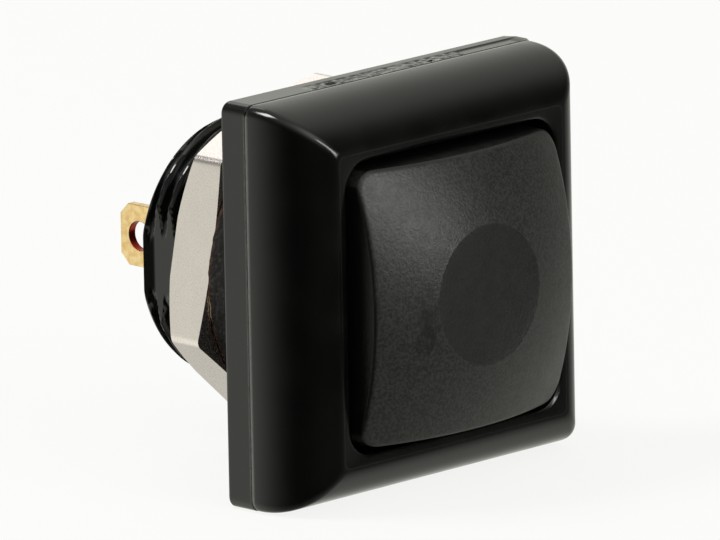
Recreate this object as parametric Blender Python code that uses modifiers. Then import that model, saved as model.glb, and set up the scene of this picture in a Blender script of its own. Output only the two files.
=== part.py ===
"""Momentary pushbutton switch: square frame, domed cap, threaded bushing, two solder tabs.

The front faces -Y, X runs right and Z up, in metres. The origin is the centre of the
flange's rear face, which seats on the panel. Every piece hangs under an empty whose own
Z axis points out of the switch's front, so heights below are distances in front of the
panel and depths behind it are negative.
"""

import math

import bmesh
import bpy

MM = 0.001

# Gaps between pieces
SEAT_GAP = 0.05 * MM
SLIDE_GAP = 0.10 * MM

# Flange, moulded in one with the bushing
FLANGE_WIDTH = 18.0 * MM
FLANGE_THICKNESS = 1.41 * MM
FLANGE_CORNER = 0.55 * MM

# Front frame
FRAME_RISE = 3.68 * MM
FRAME_SLOPE = 2.12 * MM
LAND_WIDTH = 0.38 * MM
LAND_CORNER = 0.35 * MM
OPENING_CORNER = 1.2 * MM
RIM_ROUNDING = 0.12 * MM
PEG_DIAMETER = 1.2 * MM
PEG_LENGTH = 0.9 * MM
PEG_INSET = 1.35 * MM

# Cap
BUTTON_TRAVEL = 1.5 * MM
CAP_GAP = 0.35 * MM
CAP_CORNER = 1.0 * MM
CAP_FILLET = 0.35 * MM
CAP_WALL = 0.9 * MM
CAP_PROUD = 2.41 * MM
CAP_FLOOR_CLEARANCE = 0.29 * MM
DOME_RADIUS = 17.0 * MM
DISH_DIAMETER = 6.2 * MM
DISH_DEPTH = 0.12 * MM
BOSS_DIAMETER = 4.8 * MM
BOSS_RECESS = 0.2 * MM
RIB_THICKNESS = 0.6 * MM
RIB_RECESS = 1.0 * MM

# Threaded bushing
THREAD_DIAMETER = 11.9 * MM
BUSHING_LENGTH = 8.5 * MM
LEAD_IN_DEPTH = 0.35 * MM
LEAD_IN_LENGTH = 1.2 * MM
FLAT_DEPTH = 0.62 * MM

# Panel gasket and nut
GASKET_WIDTH = 1.25 * MM
GASKET_POCKET_DEPTH = 0.5 * MM
POCKET_GAP = 0.15 * MM
NUT_SETBACK = 3.07 * MM
NUT_WALL = 1.05 * MM
NUT_THICKNESS = 2.24 * MM
NUT_CORNER_CHAMFER = 0.35 * MM
NUT_TURN = math.radians(-12)

# Bores inside the bushing
GUIDE_DIAMETER = 4.8 * MM
CHAMBER_DIAMETER = 8.4 * MM
BASE_BORE_DIAMETER = 9.2 * MM
BASE_THICKNESS = 1.5 * MM
POTTING_THICKNESS = 0.45 * MM
BARRIER_DIAMETER = 7.2 * MM
BARRIER_THICKNESS = 0.3 * MM
BARRIER_HEIGHT = 1.5 * MM

# Plunger, its seal and its snap head
NECK_DIAMETER = 2.6 * MM
NECK_LENGTH = 0.85 * MM
BARB_DIAMETER = 3.1 * MM
BARB_LENGTH = 0.4 * MM
HEAD_TAPER_LENGTH = 0.5 * MM
HEAD_TIP_DIAMETER = 2.3 * MM
COLLAR_THICKNESS = 0.8 * MM
COLLAR_GAP = 0.15 * MM
SEAL_SECTION = 0.7 * MM
SEAL_DEPTH = 1.1 * MM
STEM_WIDTH = 1.2 * MM
STEM_OVERHANG = 0.25 * MM

# Springs
RETURN_WIRE = 0.35 * MM
RETURN_TURNS = 4.5
RETURN_SPRING_GAP = 0.17 * MM
CONTACT_WIRE = 0.18 * MM
CONTACT_TURNS = 3.5
CONTACT_SPRING_ROOM = 1.31 * MM
COIL_GAP = 0.03 * MM

# Contacts
CONTACT_GAP = 1.0 * MM
CONTACT_SPACING = 4.7 * MM
CONTACT_DIAMETER = 1.0 * MM
CONTACT_HEIGHT = 0.3 * MM
CONTACT_CROWN = 0.08 * MM
SHANK_DIAMETER = 0.5 * MM
BRIDGE_LENGTH = 5.8 * MM
BRIDGE_WIDTH = 1.8 * MM
BRIDGE_THICKNESS = 0.3 * MM
BRIDGE_CORNER = 0.4 * MM
CLIP_DIAMETER = 2.1 * MM
CLIP_THICKNESS = 0.25 * MM

# Solder terminals
TAB_SPACING = 3.38 * MM
TAB_THICKNESS = 0.4 * MM
TAB_WIDTH = 2.8 * MM
TAB_LENGTH = 5.07 * MM
TAB_CORNER = 0.5 * MM
TAB_HOLE_DIAMETER = 1.3 * MM
TAB_HOLE_INSET = 1.19 * MM
FOOT_MARGIN = 0.55 * MM
BEND_RADIUS = 0.1 * MM

# Heights along the switch's axis, from the front to the rear
LAND_HEIGHT = FLANGE_THICKNESS + FRAME_RISE
CAP_APEX = LAND_HEIGHT + CAP_PROUD
CAP_BOTTOM = FLANGE_THICKNESS + BUTTON_TRAVEL + CAP_FLOOR_CLEARANCE
BOSS_BOTTOM = CAP_BOTTOM + BOSS_RECESS
POTTING_TOP = -BUSHING_LENGTH + POTTING_THICKNESS
BASE_BOTTOM = POTTING_TOP + SEAT_GAP
BASE_TOP = BASE_BOTTOM + BASE_THICKNESS
FOOT_BOTTOM = BASE_TOP + SEAT_GAP
FOOT_TOP = FOOT_BOTTOM + TAB_THICKNESS
FIXED_CONTACT_SEAT = FOOT_TOP + SEAT_GAP
FIXED_CONTACT_FACE = FIXED_CONTACT_SEAT + CONTACT_HEIGHT
MOVING_CONTACT_FACE = FIXED_CONTACT_FACE + CONTACT_GAP
MOVING_CONTACT_SEAT = MOVING_CONTACT_FACE + CONTACT_HEIGHT
BRIDGE_BOTTOM = MOVING_CONTACT_SEAT + SEAT_GAP
BRIDGE_TOP = BRIDGE_BOTTOM + BRIDGE_THICKNESS
COLLAR_BOTTOM = BRIDGE_TOP + CONTACT_SPRING_ROOM
COLLAR_TOP = COLLAR_BOTTOM + COLLAR_THICKNESS
SHOULDER = COLLAR_TOP + SEAT_GAP
CLIP_TOP = BRIDGE_BOTTOM - SEAT_GAP
CLIP_BOTTOM = CLIP_TOP - CLIP_THICKNESS
STEM_END = CLIP_BOTTOM - STEM_OVERHANG
TAB_END = -BUSHING_LENGTH - TAB_LENGTH

# Half widths and radii
FLANGE_HALF = FLANGE_WIDTH / 2
LAND_HALF = FLANGE_HALF - FRAME_SLOPE
OPENING_HALF = LAND_HALF - LAND_WIDTH
CAP_HALF = OPENING_HALF - CAP_GAP
THREAD_RADIUS = THREAD_DIAMETER / 2
GASKET_RADIUS = THREAD_RADIUS + GASKET_WIDTH
POCKET_RADIUS = GASKET_RADIUS + POCKET_GAP
NUT_HALF = THREAD_RADIUS + NUT_WALL
GUIDE_RADIUS = GUIDE_DIAMETER / 2
CHAMBER_RADIUS = CHAMBER_DIAMETER / 2
BASE_RADIUS = BASE_BORE_DIAMETER / 2 - SEAT_GAP
BODY_RADIUS = GUIDE_RADIUS - SLIDE_GAP
COLLAR_RADIUS = CHAMBER_RADIUS - COLLAR_GAP
DISH_RADIUS = DISH_DIAMETER / 2
RETURN_RADIUS = CHAMBER_RADIUS - RETURN_SPRING_GAP - RETURN_WIRE / 2
CONTACT_SPRING_RADIUS = STEM_WIDTH / math.sqrt(2) + SLIDE_GAP + CONTACT_WIRE / 2

# How finely round forms are drawn
ROUND_STEPS = 48
SMALL_STEPS = 20
CORNER_STEPS = 5
SIDE_STEPS = 6
SLOPE_STEPS = 7
FILLET_STEPS = 2
DOME_STEPS = 4
SEAL_STEPS = 10
COIL_STEPS = 16

# How far a cutter runs past what it cuts, and a union sinks into what it joins
OVERCUT = 0.5 * MM
EMBED = 0.3 * MM


def clear_scene():
    for thing in list(bpy.data.objects):
        bpy.data.objects.remove(thing)


def collection(name):
    made = bpy.data.collections.new(name)
    bpy.context.scene.collection.children.link(made)
    return made


def empty(name, parent, group):
    made = bpy.data.objects.new(name, None)
    made.empty_display_size = FLANGE_WIDTH
    made.parent = parent
    group.objects.link(made)
    return made


def material(name, colour, roughness, metallic=0.0):
    made = bpy.data.materials.new(name)
    made.use_nodes = True
    shader = made.node_tree.nodes["Principled BSDF"]
    shader.inputs["Base Color"].default_value = (*colour, 1.0)
    shader.inputs["Roughness"].default_value = roughness
    shader.inputs["Metallic"].default_value = metallic
    return made


def place(name, mesh, parent, group, finish=None):
    """An object with this mesh under its axis empty; a piece without a finish is a cutter."""
    made = bpy.data.objects.new(name, mesh)
    made.parent = parent
    group.objects.link(made)
    if finish:
        mesh.materials.append(finish)
    else:
        made.hide_render = True
        made.display_type = "WIRE"
    return made


def mesh_from(bm, name):
    bmesh.ops.recalc_face_normals(bm, faces=bm.faces)
    mesh = bpy.data.meshes.new(name)
    bm.to_mesh(mesh)
    bm.free()
    mesh.shade_smooth()
    mesh.set_sharp_from_angle(angle=math.radians(35))
    return mesh


def place_turned(name, profile, parent, group, finish=None, ring=False, steps=ROUND_STEPS):
    """A profile of (radius, height) points, outer side from top to bottom, turned round Z."""
    edges = [(index, index + 1) for index in range(len(profile) - 1)]
    if ring:
        edges.append((len(profile) - 1, 0))
    mesh = bpy.data.meshes.new(name)
    mesh.from_pydata([(radius, 0, height) for radius, height in profile], edges, [])
    made = place(name, mesh, parent, group, finish)
    turn = made.modifiers.new("turn", "SCREW")
    turn.steps = steps
    turn.render_steps = steps
    turn.use_merge_vertices = True
    turn.merge_threshold = 0.001 * MM
    turn.use_smooth_shade = True
    return made


def box(low, high):
    """A box between two opposite corners."""
    bm = bmesh.new()
    bmesh.ops.create_cube(bm, size=1)
    for vert in bm.verts:
        for axis in range(3):
            vert.co[axis] = high[axis] if vert.co[axis] > 0 else low[axis]
    return bm


def round_upright_edges(bm, radius, segments):
    """Rounds the four edges of a box that run along Z."""
    upright = [e for e in bm.edges if abs(e.verts[0].co.z - e.verts[1].co.z) > radius / 100]
    bmesh.ops.bevel(bm, geom=upright, offset=radius, segments=segments, profile=0.5, affect="EDGES")


def cylinder(bm, radius, low, high, centre=(0, 0), steps=SMALL_STEPS):
    """An upright cylinder added to a bmesh."""
    made = bmesh.ops.create_cone(
        bm, cap_ends=True, segments=steps, radius1=radius, radius2=radius, depth=high - low
    )
    bmesh.ops.translate(bm, verts=made["verts"], vec=(*centre, (low + high) / 2))


def boolean(thing, other, operation):
    step = thing.modifiers.new(other.name, "BOOLEAN")
    step.operation = operation
    step.object = other


def cut(thing, *cutters):
    for cutter in cutters:
        boolean(thing, cutter, "DIFFERENCE")


def join(thing, *others):
    for other in others:
        boolean(thing, other, "UNION")


def rounded_square(half, corner):
    """Points round a square with rounded corners, anticlockwise from its right side."""
    quarter = []
    for step in range(CORNER_STEPS + 1):
        angle = math.pi / 2 * step / CORNER_STEPS
        x = half - corner + corner * math.cos(angle)
        y = half - corner + corner * math.sin(angle)
        quarter.append((x, y))
    for step in range(1, SIDE_STEPS):
        quarter.append(((half - corner) * (1 - 2 * step / SIDE_STEPS), half))
    points = []
    for sine, cosine in ((0, 1), (1, 0), (0, -1), (-1, 0)):
        points += [(x * cosine - y * sine, x * sine + y * cosine) for x, y in quarter]
    return points


def loft(name, rings, ring=False):
    """Faces between rings of points; the last ring meets the first, or both ends close."""
    bm = bmesh.new()
    loops = [[bm.verts.new(point) for point in points] for points in rings]
    pairs = list(zip(loops, loops[1:]))
    if ring:
        pairs.append((loops[-1], loops[0]))
    else:
        bm.faces.new(loops[0])
        bm.faces.new(loops[-1])
    for lower, upper in pairs:
        for index, start in enumerate(lower):
            following = (index + 1) % len(lower)
            bm.faces.new((start, lower[following], upper[following], upper[index]))
    bmesh.ops.triangulate(bm, faces=bm.faces)
    return mesh_from(bm, name)


def dome_height(x, y):
    """Height of the cap's sphere over a point."""
    return CAP_APEX - DOME_RADIUS + math.sqrt(DOME_RADIUS**2 - x * x - y * y)


def square_ring(half, corner, height):
    """A rounded square at a height, which may depend on the point."""
    level = height if callable(height) else lambda x, y: height
    return [(x, y, level(x, y)) for x, y in rounded_square(half, corner)]


def dome_rings(half, corner, hub_radius, drop):
    """Rings over the dome that turn from a rounded square into a circle round its middle."""
    outline = rounded_square(half, corner)
    rings = []
    for step in range(DOME_STEPS + 1):
        share = step / DOME_STEPS
        points = []
        for x, y in outline:
            hub = hub_radius / math.hypot(x, y)
            scale = 1 - share + share * hub
            points.append((x * scale, y * scale, dome_height(x * scale, y * scale) - drop))
        rings.append(points)
    return rings


def dish_rings():
    """The shallow round dish in the middle of the dome, inwards from its edge."""
    outline = rounded_square(CAP_HALF, CAP_CORNER)
    edge = dome_height(DISH_RADIUS, 0)
    rings = []
    for share in (2 / 3, 1 / 3):
        points = []
        for x, y in outline:
            scale = DISH_RADIUS * share / math.hypot(x, y)
            points.append((x * scale, y * scale, edge - DISH_DEPTH * (1 - share**2)))
        rings.append(points)
    return rings


def cap_outside():
    """The cap's outer form: straight skirt, rounded edge, dome and dish."""
    edge_half = CAP_HALF - CAP_FILLET
    rings = [square_ring(CAP_HALF, CAP_CORNER, CAP_BOTTOM)]
    for step in range(FILLET_STEPS + 1):
        angle = math.pi / 2 * step / (FILLET_STEPS + 1)
        inset = CAP_FILLET * (1 - math.cos(angle))
        drop = CAP_FILLET * (1 - math.sin(angle))
        rings.append(
            square_ring(
                CAP_HALF - inset,
                CAP_CORNER - inset,
                lambda x, y: dome_height(x, y) - drop,
            )
        )
    rings += dome_rings(edge_half, CAP_CORNER - CAP_FILLET, DISH_RADIUS, 0)
    rings += dish_rings()
    return loft("button_cap", rings)


def cap_hollow():
    """The space under the cap, one wall inside it."""
    inner_half = CAP_HALF - CAP_WALL
    inner_corner = CAP_CORNER / 2
    rings = [square_ring(inner_half, inner_corner, CAP_BOTTOM - OVERCUT)]
    rings += dome_rings(inner_half, inner_corner, DISH_RADIUS, CAP_WALL)
    return loft("cap_hollow", rings)


def make_cap(axis, parts, cutters, finish):
    cap = place("button_cap", cap_outside(), axis, parts, finish)
    hollow = place("cap_hollow", cap_hollow(), axis, cutters)

    # The boss and the cross of ribs are left standing in the hollow
    bm = bmesh.new()
    cylinder(bm, BOSS_DIAMETER / 2, BOSS_BOTTOM, CAP_APEX, steps=ROUND_STEPS // 2)
    boss = place("cap_boss", mesh_from(bm, "cap_boss"), axis, cutters)
    rib_bottom = CAP_BOTTOM + RIB_RECESS
    along = (CAP_HALF, RIB_THICKNESS / 2)
    across = (RIB_THICKNESS / 2, CAP_HALF)
    ribs = []
    for name, (half_x, half_y) in (("cap_rib_along", along), ("cap_rib_across", across)):
        bm = box((-half_x, -half_y, rib_bottom), (half_x, half_y, CAP_APEX))
        ribs.append(place(name, mesh_from(bm, name), axis, cutters))
    cut(hollow, boss, *ribs)

    # The socket has an undercut that the plunger's barb snaps into
    entry = NECK_DIAMETER / 2 + SLIDE_GAP
    pocket = BARB_DIAMETER / 2 + SLIDE_GAP
    neck_top = BOSS_BOTTOM + NECK_LENGTH - 2 * SEAT_GAP
    pocket_top = neck_top + BARB_LENGTH + HEAD_TAPER_LENGTH + 2 * SEAT_GAP
    socket_profile = [
        (0, pocket_top),
        (HEAD_TIP_DIAMETER / 2 + SLIDE_GAP, pocket_top),
        (pocket, pocket_top - HEAD_TAPER_LENGTH),
        (pocket, neck_top),
        (entry, neck_top),
        (entry, CAP_BOTTOM - OVERCUT),
        (0, CAP_BOTTOM - OVERCUT),
    ]
    socket = place_turned("cap_socket", socket_profile, axis, cutters, steps=ROUND_STEPS // 2)
    cut(cap, hollow, socket)


def make_plunger(axis, parts, cutters, finish):
    """The turned plunger: snap head, guided body with its seal groove, collar, square stem."""
    neck_bottom = BOSS_BOTTOM - SEAT_GAP
    barb_bottom = neck_bottom + NECK_LENGTH
    seal_middle = FLANGE_THICKNESS - SEAL_DEPTH
    groove_half = SEAL_SECTION / 2 + SEAT_GAP
    groove_radius = GUIDE_RADIUS - SEAL_SECTION - 2 * SEAT_GAP
    profile = [
        (0, barb_bottom + BARB_LENGTH + HEAD_TAPER_LENGTH),
        (HEAD_TIP_DIAMETER / 2, barb_bottom + BARB_LENGTH + HEAD_TAPER_LENGTH),
        (BARB_DIAMETER / 2, barb_bottom + BARB_LENGTH),
        (BARB_DIAMETER / 2, barb_bottom),
        (NECK_DIAMETER / 2, barb_bottom),
        (NECK_DIAMETER / 2, neck_bottom),
        (BODY_RADIUS, neck_bottom),
        (BODY_RADIUS, seal_middle + groove_half),
        (groove_radius, seal_middle + groove_half),
        (groove_radius, seal_middle - groove_half),
        (BODY_RADIUS, seal_middle - groove_half),
        (BODY_RADIUS, COLLAR_TOP),
        (COLLAR_RADIUS, COLLAR_TOP),
        (COLLAR_RADIUS, COLLAR_BOTTOM),
        (0, COLLAR_BOTTOM),
    ]
    plunger = place_turned("plunger", profile, axis, parts, finish, steps=ROUND_STEPS // 2)
    half = STEM_WIDTH / 2
    bm = box((-half, -half, STEM_END), (half, half, COLLAR_BOTTOM + EMBED))
    join(plunger, place("plunger_stem", mesh_from(bm, "plunger_stem"), axis, cutters))


def make_plunger_seal(axis, parts, finish):
    """The O-ring in the plunger's groove."""
    middle = FLANGE_THICKNESS - SEAL_DEPTH
    centre_radius = GUIDE_RADIUS - SEAT_GAP - SEAL_SECTION / 2
    profile = []
    for step in range(SEAL_STEPS):
        angle = -math.tau * step / SEAL_STEPS
        radius = centre_radius + SEAL_SECTION / 2 * math.cos(angle)
        profile.append((radius, middle + SEAL_SECTION / 2 * math.sin(angle)))
    steps = ROUND_STEPS // 2
    place_turned("plunger_o_ring", profile, axis, parts, finish, ring=True, steps=steps)


def make_frame(axis, parts, cutters, finish):
    """The square front frame, its outer side a quarter of an ellipse."""
    bottom = FLANGE_THICKNESS + SEAT_GAP
    rings = [square_ring(FLANGE_HALF, FLANGE_CORNER, bottom)]
    for step in range(SLOPE_STEPS + 1):
        angle = math.pi / 2 * step / SLOPE_STEPS
        share = step / SLOPE_STEPS
        half = LAND_HALF + FRAME_SLOPE * math.cos(angle)
        corner = FLANGE_CORNER + (LAND_CORNER - FLANGE_CORNER) * share
        height = LAND_HEIGHT - (FRAME_RISE - SEAT_GAP * 2) * (1 - math.sin(angle))
        rings.append(square_ring(half, corner, height))
    rings.append(square_ring(OPENING_HALF + RIM_ROUNDING, OPENING_CORNER, LAND_HEIGHT))
    rings.append(square_ring(OPENING_HALF, OPENING_CORNER, LAND_HEIGHT - RIM_ROUNDING))
    rings.append(square_ring(OPENING_HALF, OPENING_CORNER, bottom))
    frame = place("front_frame", loft("front_frame", rings, ring=True), axis, parts, finish)
    pegs = peg_cylinders(PEG_DIAMETER / 2, bottom - PEG_LENGTH, bottom + EMBED)
    join(frame, place("frame_pegs", mesh_from(pegs, "frame_pegs"), axis, cutters))


def peg_cylinders(radius, low, high):
    """One upright cylinder near each corner of the flange."""
    bm = bmesh.new()
    offset = FLANGE_HALF - PEG_INSET
    for x in (-offset, offset):
        for y in (-offset, offset):
            cylinder(bm, radius, low, high, (x, y), steps=SMALL_STEPS // 2)
    return bm


def make_housing(axis, parts, cutters, finish):
    """The flange and the threaded bushing, one moulding with flats and a stepped bore."""
    bm = box((-FLANGE_HALF, -FLANGE_HALF, 0), (FLANGE_HALF, FLANGE_HALF, FLANGE_THICKNESS))
    round_upright_edges(bm, FLANGE_CORNER, CORNER_STEPS)
    housing = place("housing", mesh_from(bm, "housing"), axis, parts, finish)

    bm = bmesh.new()
    cylinder(bm, POCKET_RADIUS, -OVERCUT, GASKET_POCKET_DEPTH, steps=ROUND_STEPS)
    cut(housing, place("gasket_pocket", mesh_from(bm, "gasket_pocket"), axis, cutters))

    thread_end = -BUSHING_LENGTH + LEAD_IN_LENGTH
    outside = [
        (0, GASKET_POCKET_DEPTH + EMBED),
        (THREAD_RADIUS, GASKET_POCKET_DEPTH + EMBED),
        (THREAD_RADIUS, thread_end + LEAD_IN_DEPTH),
        (THREAD_RADIUS - LEAD_IN_DEPTH, thread_end),
        (THREAD_RADIUS - LEAD_IN_DEPTH, -BUSHING_LENGTH),
        (0, -BUSHING_LENGTH),
    ]
    bushing = place_turned("bushing", outside, axis, cutters)
    join(housing, bushing)
    cut(housing, *flat_cutters(axis, cutters))

    bore = [
        (0, FLANGE_THICKNESS + OVERCUT),
        (GUIDE_RADIUS, FLANGE_THICKNESS + OVERCUT),
        (GUIDE_RADIUS, SHOULDER),
        (CHAMBER_RADIUS, SHOULDER),
        (CHAMBER_RADIUS, BASE_TOP + SEAT_GAP),
        (BASE_BORE_DIAMETER / 2, BASE_TOP + SEAT_GAP),
        (BASE_BORE_DIAMETER / 2, -BUSHING_LENGTH - OVERCUT),
        (0, -BUSHING_LENGTH - OVERCUT),
    ]
    cut(housing, place_turned("stepped_bore", bore, axis, cutters))

    hole_bottom = FLANGE_THICKNESS - PEG_LENGTH
    holes = peg_cylinders(PEG_DIAMETER / 2 + SEAT_GAP, hole_bottom, FLANGE_THICKNESS + OVERCUT)
    cut(housing, place("peg_holes", mesh_from(holes, "peg_holes"), axis, cutters))


def flat_cutters(axis, cutters):
    """Boxes that leave two flats along the bushing, which keep it from turning."""
    flat = THREAD_RADIUS - FLAT_DEPTH
    chord = math.sqrt(THREAD_RADIUS**2 - flat**2)
    made = []
    for name, side in (("left_flat", -1), ("right_flat", 1)):
        edges = sorted((side * flat, side * (THREAD_RADIUS + SEAT_GAP)))
        low = (edges[0], -chord - SEAT_GAP, -BUSHING_LENGTH - OVERCUT)
        high = (edges[1], chord + SEAT_GAP, GASKET_POCKET_DEPTH)
        made.append(place(name, mesh_from(box(low, high), name), axis, cutters))
    return made


def make_gasket(axis, parts, finish):
    """The soft ring behind the flange, between its pocket and the nut."""
    top = GASKET_POCKET_DEPTH - SEAT_GAP
    bottom = -NUT_SETBACK + SEAT_GAP
    inner = THREAD_RADIUS + POCKET_GAP
    profile = [(inner, top), (GASKET_RADIUS, top), (GASKET_RADIUS, bottom), (inner, bottom)]
    place_turned("panel_gasket", profile, axis, parts, finish, ring=True)


def make_nut(axis, parts, cutters, finish):
    """The hexagon nut, its corners turned off at both faces."""
    front = -NUT_SETBACK
    rear = front - NUT_THICKNESS
    corner_radius = 2 * NUT_HALF / math.sqrt(3)
    bm = bmesh.new()
    cylinder(bm, corner_radius, rear, front, steps=6)
    nut = place("hex_nut", mesh_from(bm, "hex_nut"), axis, parts, finish)
    nut.rotation_euler.z = NUT_TURN

    face_radius = NUT_HALF - SEAT_GAP
    slope = NUT_CORNER_CHAMFER / (corner_radius - face_radius)
    reach = corner_radius + OVERCUT
    drop = slope * (reach - face_radius)
    turned_off = [
        (0, front),
        (face_radius, front),
        (reach, front - drop),
        (reach, rear + drop),
        (face_radius, rear),
        (0, rear),
    ]
    envelope = place_turned("nut_envelope", turned_off, axis, cutters, steps=ROUND_STEPS * 2)
    boolean(nut, envelope, "INTERSECT")

    hole = THREAD_RADIUS + SEAT_GAP
    countersink = hole + NUT_CORNER_CHAMFER
    bore = [
        (0, front + OVERCUT),
        (countersink + OVERCUT, front + OVERCUT),
        (hole, front - NUT_CORNER_CHAMFER),
        (hole, rear + NUT_CORNER_CHAMFER),
        (countersink + OVERCUT, rear - OVERCUT),
        (0, rear - OVERCUT),
    ]
    cut(nut, place_turned("nut_bore", bore, axis, cutters))


def make_base(axis, parts, cutters, finish):
    """The insulating base with a round barrier between the spring and the contacts."""
    barrier_outer = BARRIER_DIAMETER / 2
    barrier_inner = barrier_outer - BARRIER_THICKNESS
    profile = [
        (0, BASE_TOP),
        (barrier_inner, BASE_TOP),
        (barrier_inner, BASE_TOP + BARRIER_HEIGHT),
        (barrier_outer, BASE_TOP + BARRIER_HEIGHT),
        (barrier_outer, BASE_TOP),
        (BASE_RADIUS, BASE_TOP),
        (BASE_RADIUS, BASE_BOTTOM),
        (0, BASE_BOTTOM),
    ]
    base = place_turned("contact_base", profile, axis, parts, finish)
    cut(base, *slot_cutters("base_slot", BASE_BOTTOM, BASE_TOP, axis, cutters))


def make_potting(axis, parts, cutters, finish):
    """The resin that seals the bushing's rear end round the terminals."""
    profile = [
        (0, POTTING_TOP),
        (BASE_RADIUS, POTTING_TOP),
        (BASE_RADIUS, -BUSHING_LENGTH),
        (0, -BUSHING_LENGTH),
    ]
    potting = place_turned("potting_seal", profile, axis, parts, finish)
    cut(potting, *slot_cutters("potting_slot", -BUSHING_LENGTH, POTTING_TOP, axis, cutters))


def slot_cutters(name, low, high, axis, cutters):
    """A slot for each terminal's blade, from below one height to above another."""
    half_thickness = TAB_THICKNESS / 2 + SEAT_GAP
    half_width = TAB_WIDTH / 2 + SEAT_GAP
    made = []
    for side in (-1, 1):
        middle = side * TAB_SPACING / 2
        near = (middle - half_thickness, -half_width, low - OVERCUT)
        far = (middle + half_thickness, half_width, high + OVERCUT)
        label = f"{name}_{'left' if side < 0 else 'right'}"
        made.append(place(label, mesh_from(box(near, far), label), axis, cutters))
    return made


def bend(centre_x, centre_y, radius):
    """An arc from the side of a bend that faces left up to its top."""
    points = []
    for step in range(CORNER_STEPS):
        angle = math.pi - math.pi / 2 * step / (CORNER_STEPS - 1)
        points.append((centre_x + radius * math.cos(angle), centre_y + radius * math.sin(angle)))
    return points


def loop(bm, points):
    """A closed loop of edges through these points."""
    verts = [bm.verts.new(point) for point in points]
    return [bm.edges.new((vert, verts[index - 1])) for index, vert in enumerate(verts)]


def draw_out(bm, edges, way):
    """Fills closed loops of edges and draws the face out along a vector."""
    filled = bmesh.ops.triangle_fill(bm, edges=edges, use_beauty=True)
    faces = [item for item in filled["geom"] if isinstance(item, bmesh.types.BMFace)]
    drawn = bmesh.ops.extrude_face_region(bm, geom=faces)
    moved = [item for item in drawn["geom"] if isinstance(item, bmesh.types.BMVert)]
    bmesh.ops.translate(bm, verts=moved, vec=way)


def add_blade(bm, inner):
    """The flat blade outside the resin, with its eye and its two cut corners."""
    half = TAB_WIDTH / 2
    tip = half - TAB_CORNER
    cut_height = TAB_END + TAB_CORNER
    outline = [
        (inner, -half, -BUSHING_LENGTH),
        (inner, -half, cut_height),
        (inner, -tip, TAB_END),
        (inner, tip, TAB_END),
        (inner, half, cut_height),
        (inner, half, -BUSHING_LENGTH),
    ]
    eye = []
    for step in range(SMALL_STEPS):
        angle = math.tau * step / SMALL_STEPS
        y = TAB_HOLE_DIAMETER / 2 * math.cos(angle)
        z = TAB_HOLE_DIAMETER / 2 * math.sin(angle)
        eye.append((inner, y, TAB_END + TAB_HOLE_INSET + z))
    draw_out(bm, loop(bm, outline) + loop(bm, eye), (TAB_THICKNESS, 0, 0))


def add_foot(bm, inner):
    """The blade inside the bushing and the foot bent outwards at its inner end."""
    outer = inner + TAB_THICKNESS
    foot_end = CONTACT_SPACING / 2 + FOOT_MARGIN
    bend_x = outer + BEND_RADIUS
    bend_z = FOOT_BOTTOM - BEND_RADIUS
    outline = [(inner, -BUSHING_LENGTH), (outer, -BUSHING_LENGTH)]
    outline += bend(bend_x, bend_z, BEND_RADIUS)
    outline += [(foot_end, FOOT_BOTTOM), (foot_end, FOOT_TOP)]
    outline += bend(bend_x, bend_z, BEND_RADIUS + TAB_THICKNESS)[::-1]
    edges = loop(bm, [(x, -TAB_WIDTH / 2, z) for x, z in outline])
    draw_out(bm, edges, (0, TAB_WIDTH, 0))


def make_terminal(name, side, axis, parts, finish):
    """A solder terminal: blade and foot are one sheet, joined where it leaves the resin."""
    inner = TAB_SPACING / 2 - TAB_THICKNESS / 2
    bm = bmesh.new()
    add_blade(bm, inner)
    add_foot(bm, inner)

    def in_joint(face):
        return all(abs(vert.co.z + BUSHING_LENGTH) < OVERCUT / 100 for vert in face.verts)

    joint = [face for face in bm.faces if in_joint(face)]
    bmesh.ops.delete(bm, geom=joint, context="FACES_ONLY")
    bmesh.ops.remove_doubles(bm, verts=bm.verts, dist=OVERCUT / 100)
    bmesh.ops.scale(bm, vec=(side, 1, 1), verts=bm.verts)
    place(name, mesh_from(bm, name), axis, parts, finish)


def crowned_contact(name, seat, facing, shank, side, axis, parts, finish):
    """A silver contact with a crowned head; a shank of this length goes through its carrier."""
    face = seat + facing * CONTACT_HEIGHT
    profile = [
        (0, face),
        (CONTACT_DIAMETER / 4, face - facing * CONTACT_CROWN / 4),
        (CONTACT_DIAMETER / 2, face - facing * CONTACT_CROWN),
        (CONTACT_DIAMETER / 2, seat),
    ]
    if shank:
        tail = seat - facing * shank
        profile += [(SHANK_DIAMETER / 2, seat), (SHANK_DIAMETER / 2, tail), (0, tail)]
    else:
        profile.append((0, seat))
    if facing < 0:
        profile.reverse()
    contact = place_turned(name, profile, axis, parts, finish, steps=SMALL_STEPS)
    contact.location.x = side * CONTACT_SPACING / 2


def make_bridge(axis, parts, cutters, finish):
    """The bar that joins the two fixed contacts, with a square hole for the stem."""
    half = (BRIDGE_LENGTH / 2, BRIDGE_WIDTH / 2)
    bm = box((-half[0], -half[1], BRIDGE_BOTTOM), (*half, BRIDGE_TOP))
    round_upright_edges(bm, BRIDGE_CORNER, CORNER_STEPS)
    bridge = place("contact_bridge", mesh_from(bm, "contact_bridge"), axis, parts, finish)
    holes = bmesh.new()
    for side in (-1, 1):
        centre = (side * CONTACT_SPACING / 2, 0)
        low = BRIDGE_BOTTOM - OVERCUT
        radius = SHANK_DIAMETER / 2 + SEAT_GAP
        cylinder(holes, radius, low, BRIDGE_TOP + OVERCUT, centre, steps=SMALL_STEPS)
    rivet_holes = place("bridge_rivet_holes", mesh_from(holes, "bridge_rivet_holes"), axis, cutters)
    cut(bridge, rivet_holes, stem_hole("bridge_stem_hole", BRIDGE_BOTTOM, BRIDGE_TOP, axis, cutters))


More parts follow.
